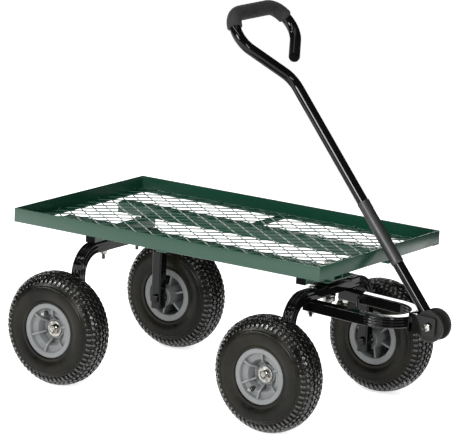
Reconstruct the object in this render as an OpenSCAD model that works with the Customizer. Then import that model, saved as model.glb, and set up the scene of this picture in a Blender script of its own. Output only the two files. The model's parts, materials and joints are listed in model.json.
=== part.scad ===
// Garden cart with a steered front axle, a folding pull handle and a mesh deck.
// X runs forward to the handle, Y to the cart's left, Z up. The ground is z = 0.
// The origin is on the ground, under the middle of the whole cart.

/* [Deck] */
// Length of the deck frame, outside
deck_length = 813; // [760:1:820]
// Width of the deck frame, outside
deck_width = 486; // [440:1:500]
// Height of the deck frame's top edge above the ground
deck_top = 388; // [388:1:396]
// Height of the deck frame's rails
rail_h = 32; // [30:1:32]
// Width of the ledge inside the rails that carries the mesh
ledge_w = 22; // [16:1:26]
// Length of one diamond of the mesh, along the deck
mesh_long = 50; // [44:1:60]
// Width of one diamond of the mesh, across the deck
mesh_short = 40; // [34:1:46]
// Width of a strand of the mesh
strand_w = 3; // [2:0.5:4]

/* [Wheels and axles] */
// Outer radius of a tyre
wheel_r = 130; // [127:1:132]
// Width of a tyre
tyre_w = 86; // [78:1:90]
// Distance between the front and rear axles
wheelbase = 567; // [540:1:567]
// Distance between the left and right wheels' middle planes
track = 452; // [448:1:470]
// Side of the square tube of the axles, cross members and yoke
tube_w = 25; // [24:0.5:25]
// Wall of the square tubes
tube_wall = 2; // [1.5:0.1:2.5]
// Distance between the outer faces of one axle's legs
leg_span = 338; // [330:1:340]
// Middle radius of the bends of the axle arches
arch_bend_r = 55.5; // [45:0.5:60]

/* [Steering and handle] */
// Distance between the middles of the yoke's two arms
yoke_span = 142; // [130:1:150]
// Angle by which the yoke slopes down toward the handle
yoke_drop = 2.2; // [0:0.1:3]
// Distance from the kingpin to the handle's pivot, along the yoke
pivot_reach = 268.2; // [266:0.1:272]
// Angle of the parked handle above the horizontal
handle_angle = 51.3; // [51.3:0.1:56]
// Radius of the handle tube
handle_r = 12.5; // [12:0.1:12.5]
// Distance from the pivot to the middle of the grip bar
grip_reach = 796; // [790:1:820]
// Middle radius of the two bends of the hand loop
loop_r = 52; // [48:1:56]
// Half the straight length of the grip bar
loop_half = 50.5; // [40:0.5:60]

/* [Hidden] */
$fn = 96;

LEFT = 1;
RIGHT = -1;

// Positions along the cart
rear_axle_x = -370;
kingpin_x = rear_axle_x + wheelbase;
deck_x = -82;
deck_front = deck_x + deck_length / 2;
deck_rear = deck_x - deck_length / 2;

// Deck
rail_wall = 3;
rail_bottom = deck_top - rail_h;
inner_half = deck_width / 2 - rail_wall;
mesh_t = 2.5;
mesh_z = rail_bottom + rail_wall;
beam_h = 25;
beam_w = 36;
beam_y = 109;
beam_z = rail_bottom - beam_h;
beam_rear = deck_rear + 42;
beam_front = deck_front - 37;
brace_w = 25;
brace_t = 4;
brace_x = deck_x - 5;

// Axles and cross members
leg_y = (leg_span - tube_w) / 2;
leg_foot = wheel_r - 24;
cross_half = 115;
cross_z = beam_z - tube_w;
rear_arch_z = cross_z - tube_w;
stack_h = 16;
front_arch_z = rear_arch_z - stack_h;
axle_bolt_y = 64;

// Steering stack between the front cross member and the front axle
plate_t = 4;
swivel_gap = 0.3;
ring_r = 30;
kingpin_r = 8;
running_gap = 0.05;

// Wheel
stub_r = 6;
hub_r = 23;
hub_in = -55;
hub_out = 10;
crown_r = 62;
bead_r = 50.8;
flange_r = 61.8;
flange_z = 37;
flange_t = 4;
barrel_t = 3.5;
bearing_r = 14;
bearing_t = 11;
web_z = 27;
web_t = 4;
dish_r = 30;
dish_z = 6;
rib_t = 4;
valve_r = 4;
valve_at = 39;
spacer_t = 1.5;
hub_gap = 0.4;
washer_t = 2.5;
leg_out = leg_span / 2 - track / 2;
leg_in = leg_out - tube_w;

// Yoke, clevis and handle
yoke_z = front_arch_z - tube_w / 2;
yoke_bend_x = 141;
yoke_front = yoke_bend_x + yoke_span / 2 + tube_w / 2;
pivot_x = kingpin_x + pivot_reach * cos(yoke_drop);
pivot_z = yoke_z - pivot_reach * sin(yoke_drop);
pivot_r = 5;
disc_r = 35;
disc_t = 7;
disc_y = handle_r + 0.3;
cheek_y = disc_y + disc_t + 0.5;
cheek_t = 4;
cheek_up = 22;
cheek_down = 19;
cheek_ahead = 19;
pin_r = 3.5;
pin_x = 43;
tube_t = 2;
joint_s = 230;
sleeve_start = 153;
sleeve_end = 308;
sleeve_r = 13.8;
spigot_half = 40;
foot_r = 60;
foot_run = foot_r * tan(22.5);
// The stem is as long as brings the loop's 45 degree run back to the middle line
loop_x = grip_reach - loop_r;
stem_length = loop_x - 2 * loop_r * cos(45) - loop_half;
diagonal = (loop_x - stem_length) / cos(45) - loop_r - foot_run;
tail_length = 54;
grip_r = 17;
grip_wrap = 68;
bend_lap = 0.5;
bend_thin = 0.05;

// Colours
rail_green = [0.24, 0.40, 0.33];
gloss_black = [0.06, 0.06, 0.06];
matt_black = [0.12, 0.12, 0.12];
zinc = [0.78, 0.78, 0.76];
tyre_black = [0.15, 0.15, 0.14];
rim_grey = [0.56, 0.58, 0.58];

// ---- general shapes ----

// A bolt's or nut's hexagon, flat side to flat side = across, standing on z = 0
module hexagon(across, height) {
    cylinder(d = across / cos(30), h = height, $fn = 6);
}

// A nut with its hole, standing on z = 0
module nut(across, height, hole_r) {
    difference() {
        hexagon(across, height);
        translate([0, 0, -1]) cylinder(r = hole_r, h = height + 2);
    }
}

// A washer standing on z = 0
module washer(outer_r, hole_r, height) {
    difference() {
        cylinder(r = outer_r, h = height);
        translate([0, 0, -1]) cylinder(r = hole_r, h = height + 2);
    }
}

// Outline of the square tube, centred
module tube_outline() {
    difference() {
        square(tube_w, center = true);
        square(tube_w - 2 * tube_wall, center = true);
    }
}

// Outline of the round handle tube, or of a sleeve around it
module round_outline(outer_r, inner_r) {
    difference() {
        circle(r = outer_r, $fn = 48);
        circle(r = inner_r, $fn = 48);
    }
}

// A straight stretch along X of whatever outline is given, from x0 to x1
module run_x(x0, x1) {
    translate([x0, 0, 0]) rotate([90, 0, 90]) linear_extrude(x1 - x0) children();
}

// A bend in the XY plane about its own centre, from angle a0 through sweep
module bend(radius, a0, sweep) {
    rotate([0, 0, a0]) rotate_extrude(angle = sweep) translate([radius, 0]) children();
}

// ---- places ----

// Puts a shape at a wheel: local +Z points outboard, z = 0 is the wheel's middle plane
module at_wheel(x, side) {
    translate([x, side * track / 2, wheel_r]) rotate([-90 * side, 0, 0]) children();
}

// Puts a shape on both ends of the axle at x
module at_both_wheels(x) {
    for (side = [LEFT, RIGHT]) at_wheel(x, side) children();
}

// The yoke's own frame: x along its arms from the kingpin, z = 0 at its middle
module in_yoke() {
    translate([kingpin_x, 0, yoke_z]) rotate([0, yoke_drop, 0]) children();
}

// The handle's own frame: x along its stem from the pivot, y across the loop
module in_handle() {
    translate([pivot_x, 0, pivot_z]) rotate([0, handle_angle - 180, 0]) children();
}

// ---- deck ----

// One side rail: an angle section with its ledge turned inward
module side_rail(side) {
    color(rail_green) translate([deck_rear, 0, rail_bottom]) {
        translate([0, side > 0 ? inner_half : -deck_width / 2, 0])
            cube([deck_length, rail_wall, rail_h]);
        translate([rail_wall, side > 0 ? inner_half - ledge_w : -inner_half, 0])
            cube([deck_length - 2 * rail_wall, ledge_w, rail_wall]);
    }
}

// One end rail, fitted between the side rails: wall_x is its wall, ledge_x its ledge
module end_rail(wall_x, ledge_x) {
    color(rail_green) translate([0, 0, rail_bottom]) {
        translate([wall_x, -inner_half, 0]) cube([rail_wall, 2 * inner_half, rail_h]);
        translate([ledge_x, -inner_half + ledge_w, 0])
            cube([ledge_w, 2 * (inner_half - ledge_w), rail_wall]);
    }
}

module side_rail_left() { side_rail(LEFT); }
module side_rail_right() { side_rail(RIGHT); }
module front_rail() { end_rail(deck_front - rail_wall, deck_front - rail_wall - ledge_w); }
module rear_rail() { end_rail(deck_rear, deck_rear + rail_wall); }

// One diamond opening of the mesh, centred
module mesh_opening() {
    long = mesh_long / 2 - strand_w / 2 / sin(atan(mesh_short / mesh_long));
    short = mesh_short / 2 - strand_w / 2 / cos(atan(mesh_short / mesh_long));
    polygon([[-long, 0], [0, -short], [long, 0], [0, short]]);
}

// The expanded-metal floor, which lies on the rails' ledges
module deck_mesh() {
    sheet_l = deck_length - 2 * rail_wall;
    sheet_w = 2 * inner_half;
    across = floor((sheet_l - 20) / mesh_long);
    rows = floor((sheet_w - 14) / (mesh_short / 2));
    color(rail_green) translate([deck_x, 0, mesh_z]) linear_extrude(mesh_t) difference() {
        square([sheet_l, sheet_w], center = true);
        for (j = [0 : rows - 2]) {
            count = across - j % 2;
            for (i = [0 : count - 1])
                translate([(i - (count - 1) / 2) * mesh_long, (j - (rows - 2) / 2) * mesh_short / 2])
                    mesh_opening();
        }
    }
}

// One of the two beams under the deck, a rectangular tube
module beam(side) {
    color(rail_green) translate([beam_rear, side * beam_y, beam_z + beam_h / 2])
        run_x(0, beam_front - beam_rear) difference() {
            square([beam_w, beam_h], center = true);
            square([beam_w - 2 * tube_wall, beam_h - 2 * tube_wall], center = true);
        }
}

module beam_left() { beam(LEFT); }
module beam_right() { beam(RIGHT); }

// A cross member over an axle, with the bolt holes that hold what hangs from it
module crossmember(x, hole_r, hole_ys) {
    color(rail_green) difference() {
        translate([x, 0, cross_z + tube_w / 2]) rotate([0, 0, 90])
            run_x(-cross_half, cross_half) tube_outline();
        for (y = hole_ys) translate([x, y, cross_z - 1]) cylinder(r = hole_r, h = tube_w + 2);
    }
}

module front_crossmember() { crossmember(kingpin_x, kingpin_r, [0]); }
module rear_crossmember() { crossmember(rear_axle_x, 4, [-axle_bolt_y, axle_bolt_y]); }

// One short flat brace from a beam to the side rail
module mid_brace(side) {
    inner = beam_y + beam_w / 2;
    length = inner_half - inner;
    color(rail_green)
        translate([brace_x - brace_w / 2, side > 0 ? inner : -inner_half, rail_bottom - brace_t])
            cube([brace_w, length, brace_t]);
}

module mid_brace_left() { mid_brace(LEFT); }
module mid_brace_right() { mid_brace(RIGHT); }

// The black plugs in the four open ends of the cross members
module crossmember_plugs() {
    inside = tube_w - 2 * tube_wall;
    color(matt_black)
        for (x = [rear_axle_x, kingpin_x], side = [LEFT, RIGHT])
            translate([x, side * cross_half, cross_z + tube_w / 2]) {
                translate([0, -side * 6, 0]) cube([inside, 12, inside], center = true);
                translate([0, side, 0]) cube([tube_w, 2, tube_w], center = true);
            }
}

// ---- axles ----

// A square tube bent into an arch with two legs, its top's underside at z = arch_z
module arch(x, arch_z, bolt_hole_r, bolt_ys) {
    corner_y = leg_y - arch_bend_r;
    corner_z = arch_z + tube_w / 2 - arch_bend_r;
    difference() {
        translate([x, 0, 0]) {
            translate([0, 0, corner_z + arch_bend_r]) rotate([0, 0, 90])
                run_x(-corner_y, corner_y) tube_outline();
            for (side = [LEFT, RIGHT]) {
                translate([0, side * corner_y, corner_z]) rotate([90, 0, side > 0 ? 90 : -90])
                    bend(arch_bend_r, 0, 90) tube_outline();
                translate([0, side * leg_y, leg_foot])
                    linear_extrude(corner_z - leg_foot) tube_outline();
            }
        }
        for (side = [LEFT, RIGHT])
            translate([x, side * leg_y, wheel_r]) rotate([90, 0, 0])
                cylinder(r = stub_r, h = tube_w + 2, center = true);
        for (y = bolt_ys)
            translate([x, y, arch_z - 1]) cylinder(r = bolt_hole_r, h = tube_w + 2);
        if (x == kingpin_x)
            translate([x, 0, arch_z - 1]) cylinder(r = kingpin_r + running_gap, h = tube_w + 2);
    }
}

module rear_axle() {
    color(gloss_black) arch(rear_axle_x, rear_arch_z, 4, [-axle_bolt_y, axle_bolt_y]);
}

module front_axle() {
    color(gloss_black) arch(kingpin_x, front_arch_z, 4, [-yoke_span / 2, yoke_span / 2]);
}

// The two bolts that hang the rear axle from its cross member
module rear_axle_bolts() {
    tail = 21;
    length = 2 * tube_w + tail;
    color(zinc) for (side = [LEFT, RIGHT])
        translate([rear_axle_x, side * axle_bolt_y, rear_arch_z - tail]) {
            cylinder(r = 4, h = length);
            translate([0, 0, length]) hexagon(13, 5.5);
        }
}

module rear_axle_nuts() {
    color(zinc) for (side = [LEFT, RIGHT])
        translate([rear_axle_x, side * axle_bolt_y, rear_arch_z - 9]) {
            nut(13, 7, 4);
            translate([0, 0, 7]) washer(9, 4, 2);
        }
}

// ---- stub axles ----

// A long bolt through the leg that the wheel turns on, head on the leg's inner face
module stub_bolt() {
    head_t = 7;
    tip = hub_out + 12.5;
    translate([0, 0, leg_in - head_t]) hexagon(19, head_t);
    translate([0, 0, leg_in]) cylinder(r = stub_r, h = tip - leg_in);
}

module stub_bolts(x) { color(zinc) at_both_wheels(x) stub_bolt(); }

module spacers(x) {
    color(zinc) at_both_wheels(x) translate([0, 0, leg_out]) washer(11, stub_r, spacer_t);
}

module hub_washers(x) {
    color(zinc) at_both_wheels(x) translate([0, 0, hub_out + hub_gap])
        washer(18.5, stub_r, washer_t);
}

module hub_nuts(x) {
    color(zinc) at_both_wheels(x) translate([0, 0, hub_out + hub_gap + washer_t])
        nut(19, 8, stub_r);
}

module rear_stub_bolts() { stub_bolts(rear_axle_x); }
module rear_spacers() { spacers(rear_axle_x); }
module rear_hub_washers() { hub_washers(rear_axle_x); }
module rear_hub_nuts() { hub_nuts(rear_axle_x); }
module front_stub_bolts() { stub_bolts(kingpin_x); }
module front_spacers() { spacers(kingpin_x); }
module front_hub_washers() { hub_washers(kingpin_x); }
module front_hub_nuts() { hub_nuts(kingpin_x); }

// ---- steering stack ----

module upper_steering_plate() {
    color(rail_green) translate([kingpin_x, 0, cross_z - plate_t]) difference() {
        translate([0, 0, plate_t / 2]) cube([60, 110, plate_t], center = true);
        translate([0, 0, -1]) cylinder(r = kingpin_r, h = plate_t + 2);
    }
}

module swivel_ring() {
    bottom = front_arch_z + tube_w + plate_t + swivel_gap;
    color(matt_black) translate([kingpin_x, 0, bottom])
        washer(ring_r, kingpin_r, cross_z - plate_t - bottom);
}

module lower_steering_plate() {
    color(gloss_black) translate([kingpin_x, 0, front_arch_z + tube_w]) difference() {
        translate([0, 0, plate_t / 2]) cube([60, 90, plate_t], center = true);
        translate([0, 0, -1]) cylinder(r = kingpin_r + running_gap, h = plate_t + 2);
    }
}

// The kingpin hangs from the cross member and carries the steered axle on its nut
module kingpin() {
    tail = 20;
    top = cross_z + tube_w;
    bottom = front_arch_z - tail;
    color(zinc) translate([kingpin_x, 0, bottom]) {
        cylinder(r = kingpin_r, h = top - bottom);
        translate([0, 0, top - bottom]) hexagon(24, 9);
    }
}

module kingpin_nut() {
    color(zinc) translate([kingpin_x, 0, front_arch_z - swivel_gap - 16]) {
        nut(24, 13, kingpin_r);
        translate([0, 0, 13]) washer(15, kingpin_r, 3);
    }
}

// ---- yoke and clevis ----

// The U-shaped tube that the handle pulls on; its arms lie under the front axle
module yoke() {
    arm_y = yoke_span / 2;
    color(gloss_black) difference() {
        in_yoke() {
            for (side = [LEFT, RIGHT])
                translate([0, side * arm_y, 0]) run_x(-tube_w / 2, yoke_bend_x) tube_outline();
            translate([yoke_bend_x, 0, 0]) bend(arm_y, -90, 180) tube_outline();
        }
        translate([kingpin_x - tube_w, -arm_y - tube_w, front_arch_z])
            cube([2 * tube_w, 2 * (arm_y + tube_w), tube_w]);
        for (side = [LEFT, RIGHT])
            translate([kingpin_x, side * arm_y, front_arch_z - 2 * tube_w])
                cylinder(r = 4, h = 3 * tube_w);
        in_yoke() translate([pin_x, arm_y, 4]) rotate([90, 0, 0])
            cylinder(r = pin_r, h = 2 * tube_w, center = true);
    }
}

// Black plugs in the rear ends of the yoke's arms
module yoke_plugs() {
    inside = tube_w - 2 * tube_wall;
    color(matt_black) in_yoke() for (side = [LEFT, RIGHT])
        translate([-tube_w / 2 - 0.75, side * yoke_span / 2, -1])
            cube([1.5, tube_w - 1, inside], center = true);
}

// The two bolts that clamp the yoke's arms under the front axle
module yoke_bolts() {
    tail = 13.5;
    drop = tube_w + tail;
    color(zinc) for (side = [LEFT, RIGHT])
        translate([kingpin_x, side * yoke_span / 2, front_arch_z - drop]) {
            cylinder(r = 4, h = drop + tube_w);
            translate([0, 0, drop + tube_w]) hexagon(13, 5.5);
        }
}

module yoke_nuts() {
    color(zinc) for (side = [LEFT, RIGHT])
        translate([kingpin_x, side * yoke_span / 2, front_arch_z - tube_w - 7.6]) nut(13, 7, 4);
}

// A small cranked pin through the left arm, its tail hanging inside the yoke
module yoke_pin() {
    arm_y = yoke_span / 2;
    inner_face = arm_y - tube_w / 2;
    tail_y = inner_face - pin_r - 0.5;
    color(matt_black) in_yoke() translate([pin_x, 0, 4]) {
        translate([0, tail_y, 0]) rotate([-90, 0, 0]) cylinder(r = pin_r, h = tube_w + 7);
        translate([0, tail_y, 0]) sphere(r = pin_r);
        translate([0, tail_y, -20]) cylinder(r = pin_r, h = 20);
    }
}

// The bracket on the yoke's front: two cheeks and a back plate that fits the bend
module clevis() {
    back = yoke_front;
    height = cheek_up + cheek_down;
    tip = pivot_reach + cheek_ahead;
    color(gloss_black) in_yoke() difference() {
        translate([0, 0, -cheek_down]) {
            for (side = [LEFT, RIGHT])
                translate([back - 6, side > 0 ? cheek_y : -cheek_y - cheek_t, 0])
                    cube([tip - back + 6, cheek_t, height]);
            translate([back - 6, -cheek_y - cheek_t, 0])
                cube([11, 2 * (cheek_y + cheek_t), height]);
        }
        translate([yoke_bend_x, 0, -50]) cylinder(r = yoke_front - yoke_bend_x, h = 100);
        translate([pivot_reach, 0, 0]) rotate([90, 0, 0])
            cylinder(r = pivot_r, h = 100, center = true);
    }
}

module clevis_bolt() {
    grip = cheek_y + cheek_t;
    color(zinc) translate([pivot_x, -grip, pivot_z]) rotate([-90, 0, 0]) {
        cylinder(r = pivot_r, h = 2 * grip + 11);
        translate([0, 0, -6.5]) hexagon(17, 6.5);
    }
}

module clevis_nut() {
    color(zinc) translate([pivot_x, cheek_y + cheek_t, pivot_z]) rotate([-90, 0, 0])
        nut(17, 8, pivot_r);
}

// ---- handle ----

// The two round cheeks that turn with the foot of the handle
module pivot_discs() {
    color(matt_black) translate([pivot_x, 0, pivot_z]) for (side = [LEFT, RIGHT])
        translate([0, side > 0 ? disc_y : -disc_y - disc_t, 0]) rotate([-90, 0, 0])
            washer(disc_r, pivot_r + running_gap, disc_t);
}

module handle_lower_tube() {
    color(gloss_black) in_handle() difference() {
        run_x(-16, joint_s) round_outline(handle_r, handle_r - tube_t);
        rotate([90, 0, 0]) cylinder(r = pivot_r + running_gap, h = 4 * handle_r, center = true);
    }
}

// The solid pin inside the joint between the lower and upper handle tubes
module handle_spigot() {
    color(zinc) in_handle() translate([joint_s - spigot_half, 0, 0]) rotate([0, 90, 0])
        cylinder(r = handle_r - tube_t, h = 2 * spigot_half, $fn = 48);
}

module handle_sleeve() {
    color(matt_black) in_handle()
        run_x(sleeve_start, sleeve_end) round_outline(sleeve_r, handle_r);
}

// The round bar under the grip, from one bend of the loop to the other
module grip_bar() {
    translate([grip_reach, 0, 0]) rotate([0, 0, 90])
        run_x(-loop_half - bend_lap, loop_half + bend_lap) children();
}

// The route of the hand loop above the joint: child 0 is the outline of its straight
// stretches, which run a little way into the bends, and child 1 the outline of the bends
module upper_route() {
    bend_start = stem_length - foot_run;
    side_x = loop_x - loop_r * cos(45);
    side_y = loop_half + loop_r * sin(45);
    run_x(joint_s, bend_start + bend_lap) children(0);
    translate([bend_start, -foot_r, 0]) bend(foot_r, 45, 45) children(1);
    translate([side_x, -side_y, 0]) rotate([0, 0, -45])
        run_x(-diagonal - bend_lap, bend_lap) children(0);
    translate([loop_x, -loop_half, 0]) bend(loop_r, -135, 135) children(1);
    grip_bar() children(0);
    translate([loop_x, loop_half, 0]) bend(loop_r, 0, 135) children(1);
    translate([side_x, side_y, 0]) rotate([0, 0, -135])
        run_x(-bend_lap, tail_length) children(0);
}

// The upper tube, a hair thinner in its bends than in its straight stretches
module handle_upper_tube() {
    inner_r = handle_r - tube_t;
    color(gloss_black) in_handle() upper_route() {
        round_outline(handle_r, inner_r);
        round_outline(handle_r - bend_thin, inner_r + bend_thin);
    }
}

// The foam grip over the bar and most of its two bends
module handle_grip() {
    color(matt_black) in_handle() {
        translate([loop_x, -loop_half, 0]) bend(loop_r, -grip_wrap, grip_wrap)
            round_outline(grip_r - bend_thin, handle_r + bend_thin);
        grip_bar() round_outline(grip_r, handle_r);
        translate([loop_x, loop_half, 0]) bend(loop_r, 0, grip_wrap)
            round_outline(grip_r - bend_thin, handle_r + bend_thin);
    }
}

// The plug in the loop's open end
module handle_end_plug() {
    color(matt_black) in_handle()
        translate([loop_x - loop_r * cos(45), loop_half + loop_r * sin(45), 0])
            rotate([0, 0, -135]) rotate([0, 90, 0]) {
                translate([0, 0, tail_length - 14])
                    cylinder(r = handle_r - tube_t, h = 14, $fn = 48);
                translate([0, 0, tail_length]) cylinder(r = handle_r, h = 3, $fn = 48);
            }
}

// ---- wheels ----

// A tyre: a hollow casing with a round crown and two beads seated inside the rim's flanges
module tyre(x, side) {
    half = tyre_w / 2;
    casing_x = (bead_r + wheel_r) / 2 - 6;
    casing_r = 46;
    skin = 12;
    bead_inner = 22;
    bead_outer = flange_z - flange_t;
    color(tyre_black) at_wheel(x, side) rotate_extrude() difference() {
        intersection() {
            translate([wheel_r - crown_r, 0]) circle(r = crown_r, $fn = 128);
            translate([casing_x, 0]) circle(r = casing_r, $fn = 128);
            translate([bead_r, -half]) square([wheel_r - bead_r, tyre_w]);
        }
        translate([casing_x, 0]) circle(r = casing_r - skin, $fn = 128);
        translate([0, -bead_inner]) square([casing_x, 2 * bead_inner]);
        for (z = [-half, bead_outer]) translate([0, z]) square([flange_r, half - bead_outer]);
    }
}

// One rib of the rim on each face of the web, from the hub to the barrel
module rim_ribs(turn) {
    outer = bead_r - barrel_t + 0.5;
    for (i = [0 : 5]) rotate([0, 0, turn + 60 * i]) rotate([90, 0, 0])
        linear_extrude(rib_t, center = true) polygon([
            [hub_r - 1, -flange_z + 4], [outer, -flange_z + 4], [outer, flange_z - 3],
            [dish_r + 6, flange_z - 7], [hub_r - 1, dish_z + 4]
        ]);
}

// The moulded rim: barrel, two flanges, dished web, hub tube and ribs
module rim(x, side, turn) {
    inner = bead_r - barrel_t;
    valve_turn = turn + 90;
    color(rim_grey) at_wheel(x, side) difference() {
        union() {
            rotate_extrude() {
                translate([inner, -flange_z]) square([barrel_t, 2 * flange_z]);
                for (z = [-flange_z, flange_z - flange_t])
                    translate([inner, z]) square([flange_r - inner, flange_t]);
                translate([dish_r, web_z - web_t]) square([inner - dish_r, web_t]);
                translate([dish_r, dish_z - web_t]) square([web_t, web_z - dish_z + web_t]);
                translate([bearing_r, dish_z - web_t]) square([dish_r - bearing_r, web_t]);
                translate([bearing_r, hub_in]) square([hub_r - bearing_r, hub_out - hub_in]);
            }
            rim_ribs(turn);
        }
        rotate([0, 0, valve_turn]) translate([valve_at, 0, web_z - web_t - 1])
            cylinder(r = valve_r, h = web_t + 2);
    }
}

// The two ball bearings pressed into the hub's ends
module bearings(x, side) {
    color(zinc) at_wheel(x, side)
        for (z = [hub_in, hub_out - bearing_t])
            translate([0, 0, z]) washer(bearing_r, stub_r + running_gap, bearing_t);
}

// The valve stem that stands out of the web
module valve(x, side, turn) {
    color(matt_black) at_wheel(x, side) rotate([0, 0, turn + 90])
        translate([valve_at, 0, web_z - web_t - 4]) {
            cylinder(r = valve_r, h = 15);
            translate([0, 0, 15]) cylinder(r = 2.6, h = 8);
        }
}

// How far each wheel's ribs are turned from straight ahead
turn_front_left = 20;
turn_front_right = 146;
turn_rear_left = 42;
turn_rear_right = 20;

module tyre_front_left() { tyre(kingpin_x, LEFT); }
module rim_front_left() { rim(kingpin_x, LEFT, turn_front_left); }
module bearings_front_left() { bearings(kingpin_x, LEFT); }
module valve_front_left() { valve(kingpin_x, LEFT, turn_front_left); }
module tyre_front_right() { tyre(kingpin_x, RIGHT); }
module rim_front_right() { rim(kingpin_x, RIGHT, turn_front_right); }
module bearings_front_right() { bearings(kingpin_x, RIGHT); }
module valve_front_right() { valve(kingpin_x, RIGHT, turn_front_right); }
module tyre_rear_left() { tyre(rear_axle_x, LEFT); }
module rim_rear_left() { rim(rear_axle_x, LEFT, turn_rear_left); }
module bearings_rear_left() { bearings(rear_axle_x, LEFT); }
module valve_rear_left() { valve(rear_axle_x, LEFT, turn_rear_left); }
module tyre_rear_right() { tyre(rear_axle_x, RIGHT); }
module rim_rear_right() { rim(rear_axle_x, RIGHT, turn_rear_right); }
module bearings_rear_right() { bearings(rear_axle_x, RIGHT); }
module valve_rear_right() { valve(rear_axle_x, RIGHT, turn_rear_right); }

side_rail_left();
side_rail_right();
front_rail();
rear_rail();
deck_mesh();
beam_left();
beam_right();
front_crossmember();
rear_crossmember();
mid_brace_left();
mid_brace_right();
crossmember_plugs();
rear_axle();
rear_axle_bolts();
rear_axle_nuts();
rear_stub_bolts();
rear_spacers();
rear_hub_washers();
rear_hub_nuts();
upper_steering_plate();
swivel_ring();
kingpin();
kingpin_nut();
front_axle();
lower_steering_plate();
front_stub_bolts();
front_spacers();
front_hub_washers();
front_hub_nuts();
yoke();
yoke_plugs();
yoke_bolts();
yoke_nuts();
yoke_pin();
clevis();
clevis_bolt();
clevis_nut();
pivot_discs();
handle_lower_tube();
handle_spigot();
handle_sleeve();
handle_upper_tube();
handle_grip();
handle_end_plug();
tyre_front_left();
rim_front_left();
bearings_front_left();
valve_front_left();
tyre_front_right();
rim_front_right();
bearings_front_right();
valve_front_right();
tyre_rear_left();
rim_rear_left();
bearings_rear_left();
valve_rear_left();
tyre_rear_right();
rim_rear_right();
bearings_rear_right();
valve_rear_right();
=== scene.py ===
import json
import random
from math import cos, pi, radians, sin, sqrt, tan

import bmesh
import bpy
from mathutils import Matrix, Quaternion, Vector


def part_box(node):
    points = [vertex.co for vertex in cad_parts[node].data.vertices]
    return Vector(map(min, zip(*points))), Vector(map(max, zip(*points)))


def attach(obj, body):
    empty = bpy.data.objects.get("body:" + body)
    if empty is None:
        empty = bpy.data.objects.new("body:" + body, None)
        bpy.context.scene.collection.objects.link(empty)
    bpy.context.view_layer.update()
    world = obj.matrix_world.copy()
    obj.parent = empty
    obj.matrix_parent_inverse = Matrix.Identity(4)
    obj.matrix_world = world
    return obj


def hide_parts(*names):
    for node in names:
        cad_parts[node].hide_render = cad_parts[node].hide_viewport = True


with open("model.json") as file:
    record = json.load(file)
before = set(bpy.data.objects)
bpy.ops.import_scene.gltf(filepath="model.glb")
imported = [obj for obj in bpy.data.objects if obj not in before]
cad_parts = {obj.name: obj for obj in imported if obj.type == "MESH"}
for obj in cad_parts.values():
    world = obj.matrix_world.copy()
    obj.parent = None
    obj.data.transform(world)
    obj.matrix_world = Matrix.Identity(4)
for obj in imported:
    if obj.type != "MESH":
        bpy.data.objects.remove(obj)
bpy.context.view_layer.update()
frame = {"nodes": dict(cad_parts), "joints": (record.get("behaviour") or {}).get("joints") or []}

MM = 0.001
CHANCE = random.Random(11)
LEFT, RIGHT = 1, -1
SIDES = (("left", LEFT), ("right", RIGHT))
X, Y, Z = Vector((1, 0, 0)), Vector((0, 1, 0)), Vector((0, 0, 1))
TURNED_OVER = Matrix.Rotation(pi, 4, "X")

# Sizes in millimetres, as the CAD model has them: the deck,
DECK_W, DECK_L = 486.0, 813.0
RAIL_T, RAIL_H, LEDGE_W = 3.0, 32.0, 22.0
MESH_LONG, MESH_SHORT, STRAND_W, STRAND_T, STRAND_TILT = 50.0, 40.0, 2.5, 1.6, 36.0

# the square tubes: their section, the arches, the yoke and its clevis,
TUBE, TUBE_WALL, TUBE_CORNER = 25.0, 2.0, 3.2
LEG_Y, LEG_BELOW_HUB, ARCH_R, AXLE_BOLT_Y = 156.5, 24.0, 55.5, 64.0
YOKE_HALF, YOKE_DROP, YOKE_BEND_X = 71.0, 2.2, 141.0
PIVOT_REACH, CLEVIS_HALF, CLEVIS_LOW, CLEVIS_HIGH, CLEVIS_T = 268.2, 24.3, -19.0, 22.0, 4.0

# the handle, with distances along its stem from the pivot,
HANDLE_R, HANDLE_WALL, FOOT_START, JOINT_S = 12.5, 2.0, -16.0, 230.0
LOOP_R, LOOP_HALF, LOOP_TAIL, FOOT_R, GRIP_REACH = 52.0, 50.5, 54.0, 60.0, 796.0
SLEEVE_START, SLEEVE_END, GRIP_R, GRIP_WRAP, CHEEK_Y = 153.0, 308.0, 17.0, 68.0, 12.8

# and the wheels
WHEEL_R, WHEEL_Y, BEAD_R, FLANGE_R, FLANGE_Z = 130.0, 226.0, 50.8, 61.8, 37.0
HUB_R, HUB_IN, HUB_OUT, BEARING_R = 23.0, -55.0, 10.0, 14.0
WEB_Z, VALVE_AT = 27.0, 39.0

# Sizes that only the visual model has
STRAND_KNUCKLE, STRAND_OVERLAP = 0.9, 0.12
SHOULDER_MID, SHOULDER_R, CROWN_MID, CROWN_R = 84.4, 46.0, 67.9, 62.0
TREAD_PITCHES, LUG_DEPTH, RIM_SPOKES, RIM_RIB_T = 60, 4.5, 6, 4.4
WHEEL_TURNS = {"front_left": 20, "front_right": 146, "rear_left": 42, "rear_right": 20}


# -------- places

def corner_mm(node):
    """The lowest and highest corner of a CAD node, in millimetres."""
    low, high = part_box(node)
    return low / MM, high / MM


def middle_mm(node):
    """The middle of a CAD node's box, in millimetres."""
    low, high = corner_mm(node)
    return (low + high) / 2


def joint_mm(name):
    """Where a joint's axis passes, in millimetres."""
    joint = next(j for j in frame["joints"] if j["name"] == name)
    return Vector(joint["pos_m"]) / MM


def axes(origin, x, y, z):
    """The matrix that puts a shape at origin with its axes along x, y and z."""
    return Matrix.Translation(origin) @ Matrix((x, y, z)).transposed().to_4x4()


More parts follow.
